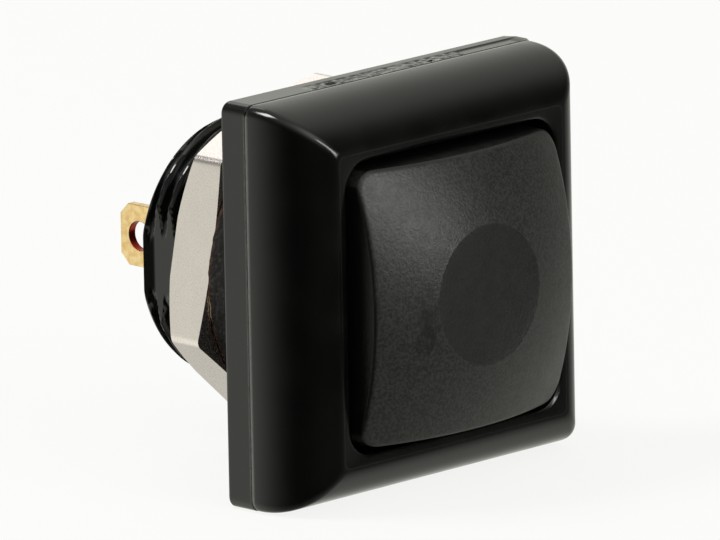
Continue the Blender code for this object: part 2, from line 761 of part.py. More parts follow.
def stem_hole(name, low, high, axis, cutters):
    """A square hole that slides on the plunger's stem."""
    half = STEM_WIDTH / 2 + SEAT_GAP
    bm = box((-half, -half, low - OVERCUT), (half, half, high + OVERCUT))
    return place(name, mesh_from(bm, name), axis, cutters)


def make_clip(axis, parts, cutters, finish):
    """The push-on washer that keeps the bridge on the stem."""
    bm = bmesh.new()
    cylinder(bm, CLIP_DIAMETER / 2, CLIP_BOTTOM, CLIP_TOP, steps=SMALL_STEPS)
    clip = place("bridge_clip", mesh_from(bm, "bridge_clip"), axis, parts, finish)
    cut(clip, stem_hole("clip_stem_hole", CLIP_BOTTOM, CLIP_TOP, axis, cutters))


def make_spring(name, radius, wire, turns, low, high, axis, parts, finish):
    """A coil of round wire with a closed turn at each end, between two seats."""
    curve = bpy.data.curves.new(name, "CURVE")
    curve.dimensions = "3D"
    curve.bevel_depth = wire / 2
    curve.bevel_resolution = 2
    curve.use_fill_caps = True
    curve.materials.append(finish)
    spline = curve.splines.new("POLY")
    count = round(turns * COIL_STEPS)
    spline.points.add(count)
    closed_rise = wire + COIL_GAP
    bottom = low + wire / 2
    top = high - wire / 2
    open_pitch = (top - bottom - 2 * closed_rise) / (turns - 2)
    for index, point in enumerate(spline.points):
        turn = turns * index / count
        open_turns = min(max(turn - 1, 0), turns - 2)
        closed_turns = turn - open_turns
        height = bottom + closed_turns * closed_rise + open_turns * open_pitch
        angle = math.tau * turn
        point.co = (radius * math.cos(angle), radius * math.sin(angle), height, 1)
    made = bpy.data.objects.new(name, curve)
    made.parent = axis
    parts.objects.link(made)


def main():
    clear_scene()
    parts = collection("momentary_pushbutton_switch")
    cutters = collection("cutters")
    front_axis = empty("switch_axis", None, parts)
    front_axis.rotation_euler.x = math.pi / 2
    press_axis = empty("press_axis", front_axis, parts)

    housing_plastic = material("black_polyamide", (0.012, 0.012, 0.012), 0.28)
    cap_plastic = material("black_matt_polyamide", (0.02, 0.021, 0.022), 0.6)
    inner_plastic = material("black_inner_polyamide", (0.02, 0.02, 0.02), 0.5)
    foam = material("black_sponge_rubber", (0.018, 0.017, 0.016), 0.95)
    seal_rubber = material("black_nitrile_rubber", (0.02, 0.02, 0.02), 0.8)
    resin = material("black_epoxy", (0.015, 0.015, 0.015), 0.35)
    nickel = material("nickel_plated_brass", (0.75, 0.71, 0.66), 0.3, 1.0)
    gold = material("gold_plated_brass", (0.83, 0.62, 0.28), 0.3, 1.0)
    silver = material("silver_alloy", (0.86, 0.85, 0.82), 0.25, 1.0)
    copper = material("silvered_copper", (0.8, 0.72, 0.62), 0.3, 1.0)
    steel = material("spring_steel", (0.55, 0.55, 0.55), 0.3, 1.0)

    make_housing(front_axis, parts, cutters, housing_plastic)
    make_frame(front_axis, parts, cutters, housing_plastic)
    make_cap(press_axis, parts, cutters, cap_plastic)
    make_plunger(press_axis, parts, cutters, inner_plastic)
    make_plunger_seal(press_axis, parts, seal_rubber)
    make_gasket(front_axis, parts, foam)
    make_nut(front_axis, parts, cutters, nickel)
    make_base(front_axis, parts, cutters, inner_plastic)
    make_potting(front_axis, parts, cutters, resin)
    make_bridge(press_axis, parts, cutters, copper)
    make_clip(press_axis, parts, cutters, steel)
    for label, side in (("left", -1), ("right", 1)):
        make_terminal(f"{label}_terminal", side, front_axis, parts, gold)
        fixed = (f"{label}_fixed_contact", FIXED_CONTACT_SEAT, 1, 0, side)
        crowned_contact(*fixed, front_axis, parts, silver)
        shank = SEAT_GAP + BRIDGE_THICKNESS
        moving = (f"{label}_moving_contact", MOVING_CONTACT_SEAT, -1, shank, side)
        crowned_contact(*moving, press_axis, parts, silver)
    top = COLLAR_BOTTOM - SEAT_GAP
    coil = (RETURN_RADIUS, RETURN_WIRE, RETURN_TURNS)
    make_spring("return_spring", *coil, BASE_TOP + SEAT_GAP, top, front_axis, parts, steel)
    coil = (CONTACT_SPRING_RADIUS, CONTACT_WIRE, CONTACT_TURNS)
    make_spring("contact_spring", *coil, BRIDGE_TOP + SEAT_GAP, top, press_axis, parts, steel)


main()
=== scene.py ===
"""Looks of the momentary pushbutton switch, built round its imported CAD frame.

Pieces are drawn with Z along the switch's axis, out of its front, and turned to the
frame's axes at the end, so the front faces -Y. All sizes are in metres.
"""

import math
from functools import partial

import bmesh
import bpy
from bpy.props import FloatProperty, FloatVectorProperty, IntProperty, PointerProperty
from bpy.types import Operator, PropertyGroup
from mathutils import Matrix, Vector, noise


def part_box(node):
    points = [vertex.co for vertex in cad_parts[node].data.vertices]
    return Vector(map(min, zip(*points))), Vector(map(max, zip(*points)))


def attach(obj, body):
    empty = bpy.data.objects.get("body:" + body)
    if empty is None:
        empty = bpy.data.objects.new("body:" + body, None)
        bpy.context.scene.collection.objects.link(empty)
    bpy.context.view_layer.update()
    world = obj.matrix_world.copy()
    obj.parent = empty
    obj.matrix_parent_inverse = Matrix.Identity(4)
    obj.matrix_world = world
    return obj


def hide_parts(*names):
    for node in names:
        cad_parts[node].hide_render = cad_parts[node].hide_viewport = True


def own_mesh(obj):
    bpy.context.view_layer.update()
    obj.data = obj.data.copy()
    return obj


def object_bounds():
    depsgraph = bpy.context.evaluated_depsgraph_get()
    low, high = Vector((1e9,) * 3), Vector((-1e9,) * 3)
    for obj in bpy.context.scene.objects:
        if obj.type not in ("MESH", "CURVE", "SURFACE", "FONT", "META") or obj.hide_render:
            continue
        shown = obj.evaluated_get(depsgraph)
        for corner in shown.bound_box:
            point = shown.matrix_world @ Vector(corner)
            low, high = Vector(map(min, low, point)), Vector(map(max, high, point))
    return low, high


bl_info = {
    "name": "Momentary pushbutton switch",
    "version": (1, 0, 0),
    "blender": (4, 5, 0),
    "location": "3D View > Sidebar > Pushbutton",
    "description": "Builds the visible pieces, finishes and studio of a square pushbutton switch",
    "category": "Object",
}

MM = 0.001
TO_FRONT = Matrix.Rotation(math.pi / 2, 4, "X")

# The parting line's rounding and its painted highlight, the plunger's guide bore, the gasket's
# pocket
PARTING_EDGE = 0.06 * MM
PARTING_HIGHLIGHT = 0.35
GUIDE_RADIUS = 2.4 * MM
POCKET_RADIUS = 7.35 * MM

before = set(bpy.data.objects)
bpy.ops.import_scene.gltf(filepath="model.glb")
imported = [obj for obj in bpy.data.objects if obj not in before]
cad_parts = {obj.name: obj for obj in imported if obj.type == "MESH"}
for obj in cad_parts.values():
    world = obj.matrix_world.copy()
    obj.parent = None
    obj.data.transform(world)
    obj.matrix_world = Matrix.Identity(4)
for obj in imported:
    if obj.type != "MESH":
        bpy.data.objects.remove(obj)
cad_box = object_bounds()


def linear(code):
    """A linear colour from an sRGB hex code."""
    channels = []
    for start in (0, 2, 4):
        value = int(code[start : start + 2], 16) / 255
        channels.append(value / 12.92 if value <= 0.04045 else ((value + 0.055) / 1.055) ** 2.4)
    return (*channels, 1.0)


def length(name, default_mm, description):
    """A size that the user may change, given here in millimetres."""
    return FloatProperty(
        name=name,
        description=description,
        default=default_mm * MM,
        min=0.0,
        precision=5,
        subtype="DISTANCE",
        unit="LENGTH",
    )


def colour(name, code, description):
    return FloatVectorProperty(
        name=name,
        description=description,
        default=linear(code),
        size=4,
        min=0,
        max=1,
        subtype="COLOR",
    )


class FrontSizes(PropertyGroup):
    """Sizes of the flange, the front frame and the cap"""

    flange_width: length("Flange width", 18.0, "Side of the square flange and front frame")
    flange_thickness: length("Flange thickness", 1.41, "From the panel to the parting line")
    flange_corner: length("Flange corner", 0.55, "Corner radius of the flange")
    mitre_top: length("Mitre top", 0.3, "Corner radius of the frame's slopes at the land")
    frame_rise: length("Frame rise", 3.68, "Height of the frame above the flange")
    frame_slope: length("Frame slope", 2.12, "Depth of the frame's elliptic side")
    opening_width: length("Opening width", 13.0, "Side of the square opening")
    opening_corner: length("Opening corner", 1.2, "Corner radius of the opening")
    cap_width: length("Cap width", 12.3, "Side of the square cap")
    cap_corner: length("Cap corner", 1.0, "Corner radius of the cap")
    cap_fillet: length("Cap fillet", 0.18, "Rounding where the cap's side meets its dome")
    cap_bottom: length("Cap bottom", 3.2, "Height of the cap's lower edge over the panel")
    cap_apex: length("Cap apex", 7.5, "Height of the dome's apex over the panel")
    dome_radius: length("Dome radius", 17.0, "Radius of the cap's dome")
    dish_diameter: length("Dish diameter", 6.2, "Diameter of the finger dish")
    dish_depth: length("Dish depth", 0.12, "Depth of the finger dish")


class RearSizes(PropertyGroup):
    """Sizes of the bushing, the gasket, the nut and the terminals"""

    thread_diameter: length("Thread diameter", 11.9, "Over the thread's crests")
    thread_pitch: length("Thread pitch", 0.75, "Rise of the thread in one turn")
    thread_depth: length("Thread depth", 0.46, "From crest to root")
    bushing_length: length("Bushing length", 8.5, "From the panel to the bushing's rear end")
    flat_distance: length("Across flats", 10.66, "Distance between the bushing's two flats")
    gasket_diameter: length("Gasket diameter", 14.4, "Outside diameter of the sponge ring")
    nut_across: length("Nut across flats", 14.0, "Width of the hexagon")
    nut_front: length("Nut setback", 2.87, "From the panel's face to the nut's front face")
    nut_thickness: length("Nut thickness", 2.36, "Thickness of the nut")
    tab_spacing: length("Tab spacing", 3.38, "Between the middles of the two tabs")
    tab_thickness: length("Tab thickness", 0.4, "Thickness of the solder tabs")
    tab_width: length("Tab width", 2.8, "Width of the solder tabs")
    tab_length: length("Tab length", 5.07, "Length of the tabs behind the bushing")
    eye_diameter: length("Eye diameter", 1.3, "Hole in each tab")
    eye_inset: length("Eye inset", 1.19, "From the eye's centre to the tab's end")


class Finishes(PropertyGroup):
    """Colours of the materials"""

    gloss_black: colour("Gloss black", "050505", "Frame and bushing moulding")
    matt_black: colour("Matt black", "1b1c1a", "Cap moulding")
    dish_black: colour("Dish black", "121311", "Finger dish of the cap")
    sponge: colour("Sponge", "171513", "Panel gasket")
    nickel: colour("Nickel", "e8dfdc", "Nut plating")
    gold: colour("Gold", "f2d7a2", "Terminal plating")


class StudioSettings(PropertyGroup):
    """Light and floor"""

    floor_size: length("Floor size", 6000, "Side of the floor")
    lamp_distance: length("Lamp distance", 400, "From the switch to each lamp")
    floor_colour: colour("Floor", "f7f7f7", "Floor and backdrop")
    curve_steps: IntProperty(
        name="Curve steps", description="Edges round each turned piece", default=144, min=24
    )


# Node tools

# A step of a map range node that starts and ends softly
SOFT_STEP = {"interpolation_type": "SMOOTHSTEP"}


def add_node(tree, kind, *inputs, give=0, **settings):
    """Adds a node with its settings and gives one of its outputs.

    The inputs in use are filled in order, each with a value or with a socket to link from;
    None leaves one as it is.
    """
    made = tree.nodes.new("ShaderNode" + kind)
    for name, value in settings.items():
        setattr(made, name, value)
    for socket, value in zip([item for item in made.inputs if item.enabled], inputs):
        if isinstance(value, bpy.types.NodeSocket):
            tree.links.new(value, socket)
        elif value is not None:
            socket.default_value = value
    return [item for item in made.outputs if item.enabled][give]


def start_material(name, **values):
    """A new material, the function that adds its nodes, and its object coordinates."""
    made = bpy.data.materials.new(name)
    made.use_nodes = True
    for label, value in values.items():
        made.node_tree.nodes["Principled BSDF"].inputs[label].default_value = value
    add = partial(add_node, made.node_tree)
    return made, add, add("TexCoord", give=3)


def finish_material(made, base, rough, *layers):
    """Links the colour, the roughness if it varies, and layers of (height, metres) as bump."""
    tree = made.node_tree
    shader = tree.nodes["Principled BSDF"].inputs
    tree.links.new(base, shader["Base Color"])
    if rough:
        tree.links.new(rough, shader["Roughness"])
    normal = None
    for height, distance in layers:
        normal = add_node(tree, "Bump", 1.0, distance, None, height, normal)
    tree.links.new(normal, shader["Normal"])
    return made


def mottle(add, pattern, low, high, first, second, most=1.0):
    """Turns one colour into another, at most by a share, as a pattern goes from low to high."""
    share = add("MapRange", pattern, low, high, 0.0, most, **SOFT_STEP)
    return add("Mix", share, first, second, data_type="RGBA")


def distance_from(add, place, centre, stretch):
    """Distance from a point, each axis first stretched."""
    offset = add("VectorMath", place, centre, operation="SUBTRACT")
    scaled = add("VectorMath", offset, stretch, operation="MULTIPLY")
    return add("VectorMath", scaled, operation="LENGTH")


# Mesh tools


def new_items(items, kind):
    return [item for item in items if isinstance(item, kind)]


def square_loop(bm, half, radius, height, side_cuts=23):
    """A closed loop of edges: a square with rounded corners, its sides cut in short edges."""
    old_edges = set(bm.edges)
    old_faces = set(bm.faces)
    lift = Matrix.Translation((0, 0, height))
    made = bmesh.ops.create_grid(bm, x_segments=1, y_segments=1, size=half, matrix=lift)
    bevelled(bm, made["verts"], radius, 10, "VERTICES")
    faces = [face for face in bm.faces if face not in old_faces]
    bmesh.ops.delete(bm, geom=faces, context="FACES_ONLY")
    sides = [e for e in bm.edges if e not in old_edges and e.calc_length() > half]
    bmesh.ops.subdivide_edges(bm, edges=sides, cuts=side_cuts)
    return [edge for edge in bm.edges if edge not in old_edges]


def circle_loop(bm, radius, height, steps):
    lift = Matrix.Translation((0, 0, height))
    made = bmesh.ops.create_circle(bm, cap_ends=False, radius=radius, segments=steps, matrix=lift)
    fresh = set(made["verts"])
    return [edge for edge in bm.edges if set(edge.verts) <= fresh]


def next_ring(bm, edges, place):
    """Draws a loop of edges out into a new one, whose points are then placed."""
    made = bmesh.ops.extrude_edge_only(bm, edges=edges)["geom"]
    fresh = set(new_items(made, bmesh.types.BMVert))
    for vert in fresh:
        vert.co = place(vert.co)
    return [e for e in new_items(made, bmesh.types.BMEdge) if set(e.verts) <= fresh]


def drawn_through(bm, ring, places):
    """Draws a loop out from placing to placing and gives the last ring."""
    for place in places:
        ring = next_ring(bm, ring, place)
    return ring


def bevelled(bm, geom, offset, segments, affect="EDGES"):
    bmesh.ops.bevel(
        bm, geom=geom, offset=offset, segments=segments, profile=0.5, affect=affect, material=-1
    )


def turned(bm, profile, steps):
    """A closed profile of (radius, height) points, turned all the way round Z."""
    verts = [bm.verts.new((radius, 0, height)) for radius, height in profile]
    edges = [bm.edges.new((vert, verts[index - 1])) for index, vert in enumerate(verts)]
    bmesh.ops.spin(
        bm,
        geom=verts + edges,
        cent=(0, 0, 0),
        axis=(0, 0, 1),
        angle=math.tau,
        steps=steps,
        use_merge=True,
    )
    bmesh.ops.remove_doubles(bm, verts=bm.verts, dist=0.0005 * MM)


def drum(outline, steps):
    """A solid turned from the (radius, height) points of its outside."""
    bm = bmesh.new()
    turned(bm, [(0.0, outline[0][1]), *outline, (0.0, outline[-1][1])], steps)
    return bm


def cylinder(radius, length, segments, place):
    """A solid cylinder, or a prism where its segments are few."""
    bm = bmesh.new()
    bmesh.ops.create_cone(
        bm,
        cap_ends=True,
        segments=segments,
        radius1=radius,
        radius2=radius,
        depth=length,
        matrix=place,
    )
    return bm


def arc(centre_x, centre_y, radius, start, end, steps):
    """Points along an arc, its angles in degrees."""
    points = []
    for step in range(steps + 1):
        angle = math.radians(start + (end - start) * step / steps)
        points.append((centre_x + radius * math.cos(angle), centre_y + radius * math.sin(angle)))
    return points


def bare_mesh(bm, name):
    """Turns a drawing into a mesh whose faces look outwards."""
    bmesh.ops.recalc_face_normals(bm, faces=bm.faces)
    mesh = bpy.data.meshes.new(name)
    bm.to_mesh(mesh)
    bm.free()
    return mesh


def shaded_mesh(bm, name, material, crease=32):
    mesh = bare_mesh(bm, name)
    mesh.shade_smooth()
    mesh.set_sharp_from_angle(angle=math.radians(crease))
    mesh.materials.append(material)
    return mesh


def add_object(name, mesh):
    made = bpy.data.objects.new(name, mesh)
    bpy.context.scene.collection.objects.link(made)
    return made


def combined(bm, cutters, operation="DIFFERENCE"):
    """A bmesh with others cut from it, or kept only inside them."""
    solids = [add_object("solid", bare_mesh(solid, "solid")) for solid in (bm, *cutters)]
    blank = solids[0]
    for cutter in solids[1:]:
        step = blank.modifiers.new("cut", "BOOLEAN")
        step.operation = operation
        step.object = cutter
        step.solver = "EXACT"
    result = bmesh.new()
    result.from_object(blank, bpy.context.evaluated_depsgraph_get())
    bmesh.ops.remove_doubles(result, verts=result.verts, dist=0.0002 * MM)
    for used in solids:
        bpy.data.objects.remove(used)
    return result


def finish_piece(bm, name, material, node, body="switch_body", crease=32, rounding=0.0):
    """Turns the drawing to the front and hands the piece to the frame."""
    bmesh.ops.transform(bm, matrix=TO_FRONT, verts=bm.verts)
    piece = add_object(name, shaded_mesh(bm, name, material, crease))
    if rounding:
        edge = piece.modifiers.new("rounded edges", "BEVEL")
        edge.width = rounding
        edge.segments = 3
        edge.limit_method = "ANGLE"
        edge.angle_limit = math.radians(crease)
        edge.harden_normals = True
    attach(piece, body)
    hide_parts(node)
    return piece


# Materials


def gloss_black_plastic(colours):
    """Glass-filled polyamide, moulded in a polished tool, for the frame and the housing.

    The polish mirrors the lamps and the room clearly, the fibres break that up a little,
    and a pale grey is painted on the parting line and the land's crease as their highlight, and
    on the flange's witness mark as its wear.
    """
    name = "gloss_moulded_polyamide"
    if name in bpy.data.materials:
        return bpy.data.materials[name]
    made, add, place = start_material(name, IOR=1.5, Roughness=0.2)
    wear_and_highlight_share = add("Attribute", give=2, attribute_name="wear_and_highlight")
    # Flow marks are a few millimetres long, and the fibres about a tenth of one
    flow = add("TexNoise", place, 1 / (2.2 * MM), 3.0)
    fibre = add("TexNoise", place, 1 / (0.11 * MM), 3.0)
    base = mottle(add, flow, 0.35, 0.7, colours.gloss_black, linear("080807"))
    patchy = add("MapRange", fibre, 0.3, 0.6, 0.6, 1.0, **SOFT_STEP)
    # Pale grey where the attribute is high: a painted highlight on the parting line and the
    # land's crease, real wear on the witness mark
    wear_and_highlight_patches = add("Math", wear_and_highlight_share, patchy, operation="MULTIPLY")
    tinted = add("Mix", wear_and_highlight_patches, base, linear("8c8d88"), data_type="RGBA")
    polish = add("MapRange", flow, 0.3, 0.7, 0.13, 0.2, **SOFT_STEP)
    dulled = add("MapRange", wear_and_highlight_share, 0.0, 1.0, 0.0, 0.4, **SOFT_STEP)
    rough = add("Math", polish, dulled, operation="ADD")
    return finish_material(made, tinted, rough, (flow, 0.004 * MM), (fibre, 0.0002 * MM))


def matt_black_plastic(colours, sizes):
    """Polyamide moulded in a finely etched tool, matt to the touch.

    The etching spreads the light into a broad soft sheen; the finger dish is darker, a painted
    shade lies beside it on the left, and the skirt below the face is painted near black as its
    shade.
    """
    made, add, place = start_material("matt_etched_polyamide", IOR=1.5, Roughness=0.38)
    # The etched grain is about 0.1 mm wide and 0.01 mm deep
    etching = add("TexNoise", place, 1 / (0.13 * MM), 2.0)
    clouds = add("TexNoise", place, 1 / (0.5 * MM), 3.0)
    base = mottle(add, etching, 0.38, 0.62, colours.matt_black, linear("2a2b28"))
    rim = sizes.dish_diameter / 2
    from_middle = distance_from(add, place, (0, 0, 0), (1, 0, 1))
    dished = mottle(
        add, from_middle, rim + 0.03 * MM, rim - 0.05 * MM, base, colours.dish_black, 0.75
    )
    # Painted shade: a dark smear left of the dish stands in for the shade at the dish's edge
    mark = distance_from(add, place, (-3.7 * MM, 0, -0.8 * MM), (1, 0, 0.3))
    uneven = add("MapRange", clouds, 0.3, 0.7, -0.2 * MM, 0.2 * MM, **SOFT_STEP)
    painted_shade_edge = add("Math", mark, uneven, operation="ADD")
    with_painted_shade = mottle(add, painted_shade_edge, 0.7 * MM, 0.1 * MM, dished, linear("0c0c0b"), 0.6)
    # The skirt below the face is painted near black: painted shade, for the shadow in the gap
    # round the cap
    folded = add("VectorMath", place, operation="ABSOLUTE")
    across = add("SeparateXYZ", folded)
    upwards = add("SeparateXYZ", folded, give=2)
    reach = add("Math", across, upwards, operation="MAXIMUM")
    edge = sizes.cap_width / 2
    final = mottle(add, reach, edge - 0.12 * MM, edge - 0.02 * MM, with_painted_shade, linear("060606"))
    rough = add("MapRange", clouds, 0.3, 0.7, 0.35, 0.41, **SOFT_STEP)
    return finish_material(made, final, rough, (etching, 0.011 * MM), (clouds, 0.003 * MM))


def sponge_rubber(colours, sizes):
    """Closed-cell sponge rubber, stamped from sheet.

    The cut through its cells is open and dusty, so it is dull with dark pits, and its edge
    on the nut has gone brown.
    """
    made, add, place = start_material("cut_sponge_rubber", IOR=1.5, Roughness=0.95)
    # The cells are about a quarter of a millimetre across
    cells = add("TexVoronoi", place, 1 / (0.24 * MM))
    dust = add("TexNoise", place, 1 / (0.14 * MM), 3.0)
    pitted = mottle(add, cells, 0.1, 0.6, linear("0e0d0c"), colours.sponge)
    dusty = mottle(add, dust, 0.55, 0.75, pitted, linear("3c3935"))
    depth = add("SeparateXYZ", place, give=1)
    edge = sizes.nut_front - 0.28 * MM
    at_nut = add("MapRange", depth, edge, edge + 0.2 * MM, **SOFT_STEP)
    patchy = add("MapRange", dust, 0.4, 0.6, **SOFT_STEP)
    browned = add("Math", at_nut, patchy, operation="MULTIPLY")
    brown = add("Mix", browned, dusty, linear("4a2c1c"), data_type="RGBA")
    # A pale arc on the ring's rim beside the nut's lower left corner: a painted highlight
    away = distance_from(add, place, (-7.2 * MM, sizes.nut_front, -1.0 * MM), (0.3, 1, 0.12))
    final = mottle(add, away, 0.1 * MM, 0.06 * MM, brown, linear("b3a284"))
    return finish_material(made, final, None, (cells, 0.05 * MM), (dust, 0.03 * MM))


def nickel_plate(colours):
    """Nickel over machined brass, tumbled after cutting.

    The plating is pale and slightly warm, and the tumbling leaves fine pits and short
    scratches that soften what it mirrors.
    """
    made, add, place = start_material("nickel_plated_brass", Metallic=1.0, Roughness=0.3)
    pits = add("TexNoise", place, 1 / (0.08 * MM), 4.0)
    clouds = add("TexNoise", place, 1 / (0.9 * MM), 3.0)
    base = mottle(add, clouds, 0.3, 0.7, colours.nickel, linear("ebe3de"))
    spotted = mottle(add, pits, 0.55, 0.75, base, linear("cfb0a4"), 0.2)
    rough = add("MapRange", pits, 0.35, 0.7, 0.24, 0.32, **SOFT_STEP)
    return finish_material(made, spotted, rough, (pits, 0.0002 * MM), (clouds, 0.001 * MM))


def gold_plate(colours, sizes):
    """Gold flash over stamped brass.

    Thin gold is pale and bright; the wall of the eye is torn by the punch and has a
    red-brown film.
    """
    made, add, place = start_material("gold_plated_brass", Metallic=1.0, Roughness=0.28)
    rolled = add("TexNoise", place, 1 / (0.3 * MM), 3.0)
    base = mottle(add, rolled, 0.3, 0.7, colours.gold, linear("e8c283"))
    eye_depth = sizes.bushing_length + sizes.tab_length - sizes.eye_inset
    from_eye = distance_from(add, place, (0, eye_depth, 0), (0, 1, 1))
    wall = sizes.eye_diameter / 2
    final = mottle(add, from_eye, wall + 0.05 * MM, wall + 0.01 * MM, base, linear("a8321f"))
    rough = add("MapRange", rolled, 0.3, 0.7, 0.22, 0.34, **SOFT_STEP)
    return finish_material(made, final, rough, (rolled, 0.002 * MM))


def lumpy_material(name, size_mm, codes, bump_mm, gloss=None, dark_below=0.3, **values):
    """A finish whose colour, height and gloss vary over lumps of one size."""
    made, add, place = start_material(name, **values)
    lumps = add("TexNoise", place, 1 / (size_mm * MM), 3.0)
    base = mottle(add, lumps, dark_below, 0.7, *[linear(code) for code in codes])
    rough = gloss and add("MapRange", lumps, 0.3, 0.7, *gloss, **SOFT_STEP)
    return finish_material(made, base, rough, (lumps, bump_mm * MM))


def cast_resin():
    """Black epoxy, poured and cured, with a level shiny skin and small dents."""
    codes = ("0d0c0b", "191715")
    return lumpy_material("cast_epoxy", 1.1, codes, 0.02, (0.18, 0.34), 0.35, IOR=1.55)


def inner_plastic():
    """Unpolished black polyamide for pieces that stay inside."""
    codes = ("161616", "22211f")
    return lumpy_material("inner_moulded_polyamide", 0.15, codes, 0.002, IOR=1.5, Roughness=0.45)


def seal_rubber():
    """Nitrile rubber, greased: dull black with a soft shine."""
    codes = ("111111", "1c1b1a")
    return lumpy_material("moulded_nitrile_rubber", 0.25, codes, 0.002, IOR=1.52, Roughness=0.4)


def bare_metal(name, size_mm, codes, roughness):
    """A metal whose rolled or drawn surface shines a little unevenly."""
    gloss = (roughness * 0.8, roughness * 1.25)
    return lumpy_material(name, size_mm, codes, 0.001, gloss, Metallic=1.0)


def settings(context):
    scene = context.scene
    return scene.pushbutton_front, scene.pushbutton_rear, scene.pushbutton_finishes


# Pieces


def scaled_to(half, old_half, height):
    """A placing of points that scales a square from one half width to another."""
    share = half / old_half
    return lambda co: Vector((co.x * share, co.y * share, height))


def squared_to(half, corner, old_half, old_corner, height):
    """A placing of points that also changes the square's corner radius."""

    def along(value):
        past = abs(value) - (old_half - old_corner)
        if past > 0:
            return math.copysign(half - corner + past * corner / old_corner, value)
        return value * (half - corner) / (old_half - old_corner)

    return lambda co: Vector((along(co.x), along(co.y), height))


def circled_to(radius, height):
    """A placing of points on a circle, each in its own direction."""

    def place(co):
        share = radius / math.hypot(co.x, co.y)
        return Vector((co.x * share, co.y * share, height))

    return place


def scaled_rings(bm, ring, half, outline):
    """Draws a square loop out to each (half width, height) and gives all the rings."""
    rings = []
    for next_half, height in outline:
        ring = next_ring(bm, ring, scaled_to(next_half, half, height))
        half = next_half
        rings.append(ring)
    return rings


def paint_highlight(edges, layer, wear_and_highlight, half):
    """Paints a pale highlight on the ends of edges, apart from those on the upper side, which is
    left dark.
    """
    for edge in edges:
        for vert in edge.verts:
            if vert.co.y <= half - 0.4 * MM:
                vert[layer] = wear_and_highlight


class PUSHBUTTON_OT_front_frame(Operator):
    """Square front frame with quarter-elliptic sides, a creased land and a rounded rim"""

    bl_idname = "pushbutton.front_frame"
    bl_label = "Front frame"

    def execute(self, context):
        front, _, colours = settings(context)
        half = front.flange_width / 2
        bottom = front.flange_thickness
        top = bottom + front.frame_rise
        edge = PARTING_EDGE
        bm = bmesh.new()
        wear_and_highlight = bm.verts.layers.float.new("wear_and_highlight")

        # Outer side: a small rounding at the parting line, then a quarter of an ellipse
        corner = front.flange_corner - edge
        now = half - edge
        first = ring = square_loop(bm, now, corner, bottom)
        outline = [(half - edge * 0.3, bottom + edge * 0.3), (half, bottom + edge)]
        for step in range(1, 37):
            angle = math.radians(86) * step / 36
            inwards = front.frame_slope * (1 - math.cos(angle))
            upwards = (front.frame_rise - edge) * math.sin(angle)
            outline.append((half - inwards, bottom + edge + upwards))
        land_half = half - front.frame_slope
        crease = len(outline) + 1
        for out_mm, down_mm in ((0.07, 0.012), (0.035, 0.01), (0, 0.012), (-0.05, 0.015)):
            outline.append((land_half + out_mm * MM, top - down_mm * MM))
        rings = []
        for next_half, height in outline:
            # The mitres are sharper at the land than at the parting line
            risen = (height - bottom) / front.frame_rise
            next_corner = front.flange_corner + (front.mitre_top - front.flange_corner) * risen
            ring = next_ring(bm, ring, squared_to(next_half, next_corner, now, corner, height))
            now = next_half
            corner = next_corner
            rings.append(ring)
        # Painted pale highlight on the parting line and, faintly, on the land's crease; the upper
        # side is left dark
        paint_highlight(rings[0] + rings[1], wear_and_highlight, PARTING_HIGHLIGHT, half)
        paint_highlight(rings[crease], wear_and_highlight, 0.05, half)

        # Opening: a rounded rim and an upright wall
        opening = front.opening_width / 2
        rim = 0.16 * MM
        land = top - 0.015 * MM
        outer = opening + rim
        wall = arc(outer, land - rim, rim, 90, 180, 4)[1:]
        wall += [(opening, bottom + 0.5 * MM), (opening, bottom)]
        inner_top = square_loop(bm, outer, front.opening_corner + rim, land)
        last = scaled_rings(bm, inner_top, outer, wall)[-1]
        bmesh.ops.bridge_loops(bm, edges=ring + inner_top)
        bmesh.ops.bridge_loops(bm, edges=first + last)
        plastic = gloss_black_plastic(colours)
        finish_piece(bm, "front_frame_moulding", plastic, "front_frame")
        return {"FINISHED"}


def thread_reach(crest, depth, share):
    """Radius of a thread with rounded crest and root, share of the way along its pitch."""
    wave = abs((share % 1) * 2 - 1)
    flank = min(max((wave - 0.1) / 0.62, 0), 1)
    soft = flank * flank * (3 - 2 * flank)
    return crest - depth * (0.35 * soft + 0.65 * flank)


def threaded_bushing(bm, rear, steps):
    """The bushing's tube: helical thread with two flats, plain lead-in and a stepped bore."""
    flange = set(bm.verts)
    flat = rear.flat_distance / 2
    crest = rear.thread_diameter / 2
    pitch = rear.thread_pitch
    end = -rear.bushing_length
    thread_end = end + 0.04 * MM
    top = 0.42 * MM
    rows_per_turn = 14
    turned_by = 0.293
    count = math.ceil((top - thread_end) / pitch * rows_per_turn)
    lead_in = crest - 0.27 * MM
    first = ring = circle_loop(bm, crest, top, steps)
    for row in range(1, count + 1):
        height = top + (thread_end - top) * row / count

        def on_thread(co, height=height):
            angle = math.atan2(co.y, co.x)
            share = height / pitch - angle / math.tau + turned_by
            chamfer = lead_in + (height - end) * 0.5
            reach = min(thread_reach(crest, rear.thread_depth, share), chamfer)
            return Vector((reach * math.cos(angle), reach * math.sin(angle), height))

        ring = next_ring(bm, ring, on_thread)

    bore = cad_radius("contact_base") + 0.05 * MM
    chamber = 4.2 * MM
    shoulder = -1.89 * MM
    chamber_end = -6.45 * MM
    bore_outline = [
        (lead_in, end + 0.02 * MM),
        (lead_in - 0.03 * MM, end),
        (bore + 0.08 * MM, end),
        (bore, end + 0.08 * MM),
        (bore, chamber_end),
        (chamber, chamber_end),
        (chamber, shoulder),
        (GUIDE_RADIUS, shoulder),
        (GUIDE_RADIUS, top),
    ]
    ring = drawn_through(bm, ring, [circled_to(*point) for point in bore_outline])
    bmesh.ops.bridge_loops(bm, edges=first + ring)
    for vert in bm.verts:
        if vert not in flange:
            # The flats run out at the rear end
            limit = flat + max(end + 0.5 * MM - vert.co.z, 0) * 0.35
            vert.co.x = min(max(vert.co.x, -limit), limit)


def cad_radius(node):
    """Radius of a turned CAD node."""
    low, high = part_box(node)
    return (high.x - low.x) / 2


